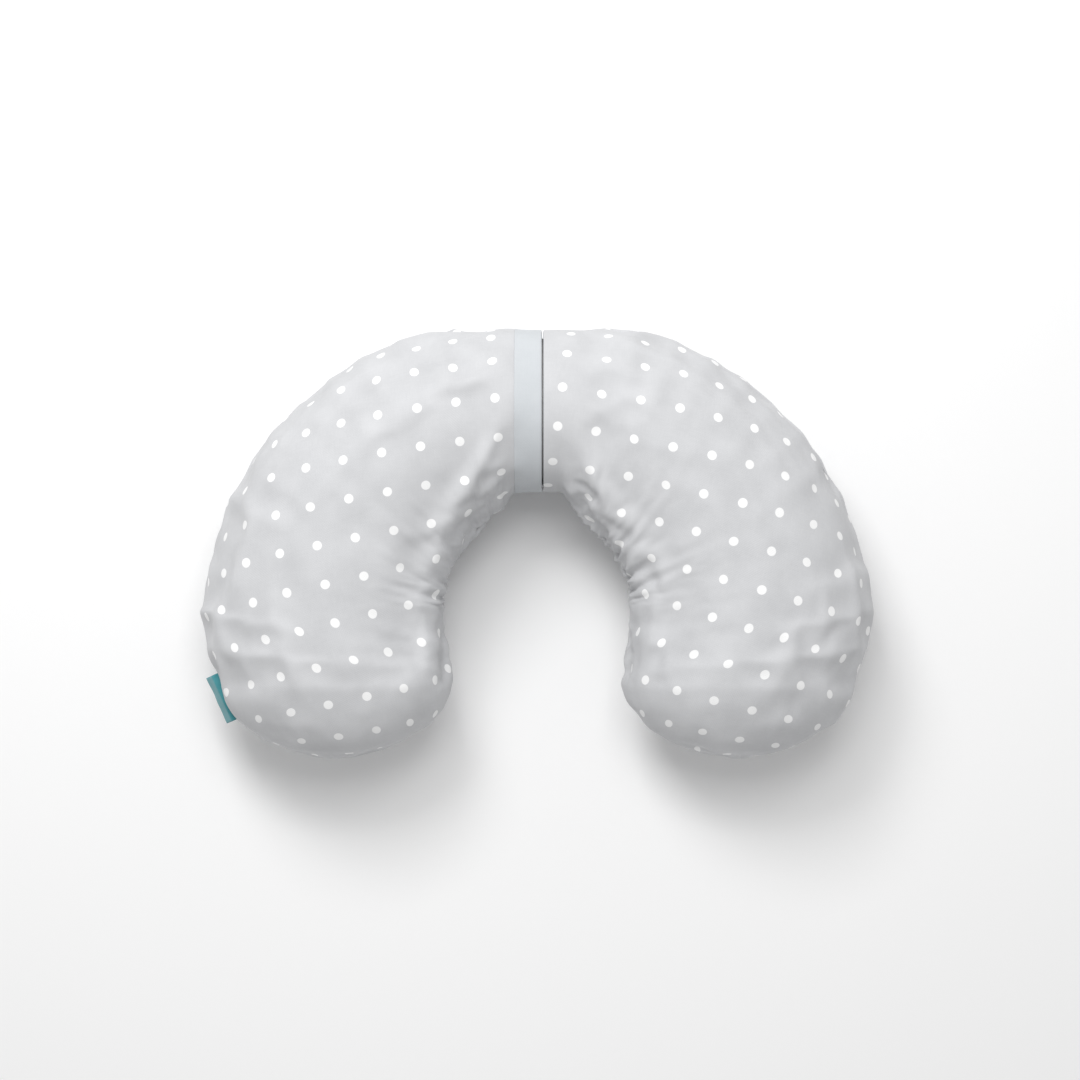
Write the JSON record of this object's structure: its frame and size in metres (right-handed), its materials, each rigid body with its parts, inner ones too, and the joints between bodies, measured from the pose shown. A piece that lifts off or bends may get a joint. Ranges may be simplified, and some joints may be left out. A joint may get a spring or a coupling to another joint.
{
  "type": "nursing pillow",
  "caption": "C-shaped stuffed nursing pillow lying flat: printed cotton cover with a concealed zip round the middle, inner casing with fibre filling and a folded side tag.",
  "frame": {"origin": "middle of the footprint, on the floor that the pillow lies on", "axes": "+Z up, the way the pillow lies; the open side of the C faces -Y; +X to the right across both arms, seen from the closed side's back looking down with +Y up"},
  "size_m": [0.602, 0.3858, 0.168],
  "materials": {
    "printed_cotton": "matt light grey woven cotton with white dots",
    "band_cotton": "matt light blue-grey woven cotton",
    "zip_tape": "matt woven tape",
    "zip_coil": "satin nylon",
    "zip_metal": "satin grey paint",
    "casing_cloth": "matt white woven cotton",
    "filling": "white hollow-fibre wadding",
    "tag_cloth": "turquoise woven ribbon with a slight sheen"
  },
  "bodies": {
    "pillow": {"cover_right_top": "printed_cotton", "cover_right_bottom": "printed_cotton", "cover_left_top": "printed_cotton", "cover_left_bottom": "printed_cotton", "placket_band": "band_cotton", "zip_tape_left": "zip_tape", "zip_tape_right": "zip_tape", "zip_coil_left": "zip_coil", "zip_coil_right": "zip_coil", "zip_top_stops": "zip_metal", "zip_bottom_stop": "zip_metal", "casing_top": "casing_cloth", "casing_bottom": "casing_cloth", "fibre_filling": "filling", "side_tag_root": "tag_cloth"},
    "zip_slider": {"zip_slider": "zip_metal"},
    "zip_pull": {"zip_pull": "zip_metal"},
    "side_tag": {"side_tag_flap": "tag_cloth"}
  },
  "joints": [
    {"name": "zip_travel", "type": "hinge", "parent": "pillow", "child": "zip_slider", "pos_m": [0.005, 0.12, 0.083], "axis": [1, 0, 0], "range_deg": [0, 190.4]},
    {"name": "pull_swing", "type": "hinge", "parent": "zip_slider", "child": "zip_pull", "pos_m": [0.005, 0.18307, 0.04204], "axis": [1, 0, 0], "range_deg": [-30, 140]},
    {"name": "tag_fold", "type": "hinge", "parent": "pillow", "child": "side_tag", "pos_m": [-0.28335, -0.13859, 0.083], "axis": [0.4145, -0.9101, 0], "range_deg": [-100, 25], "stiffness_Nm_per_rad": 0.0005}
  ]
}
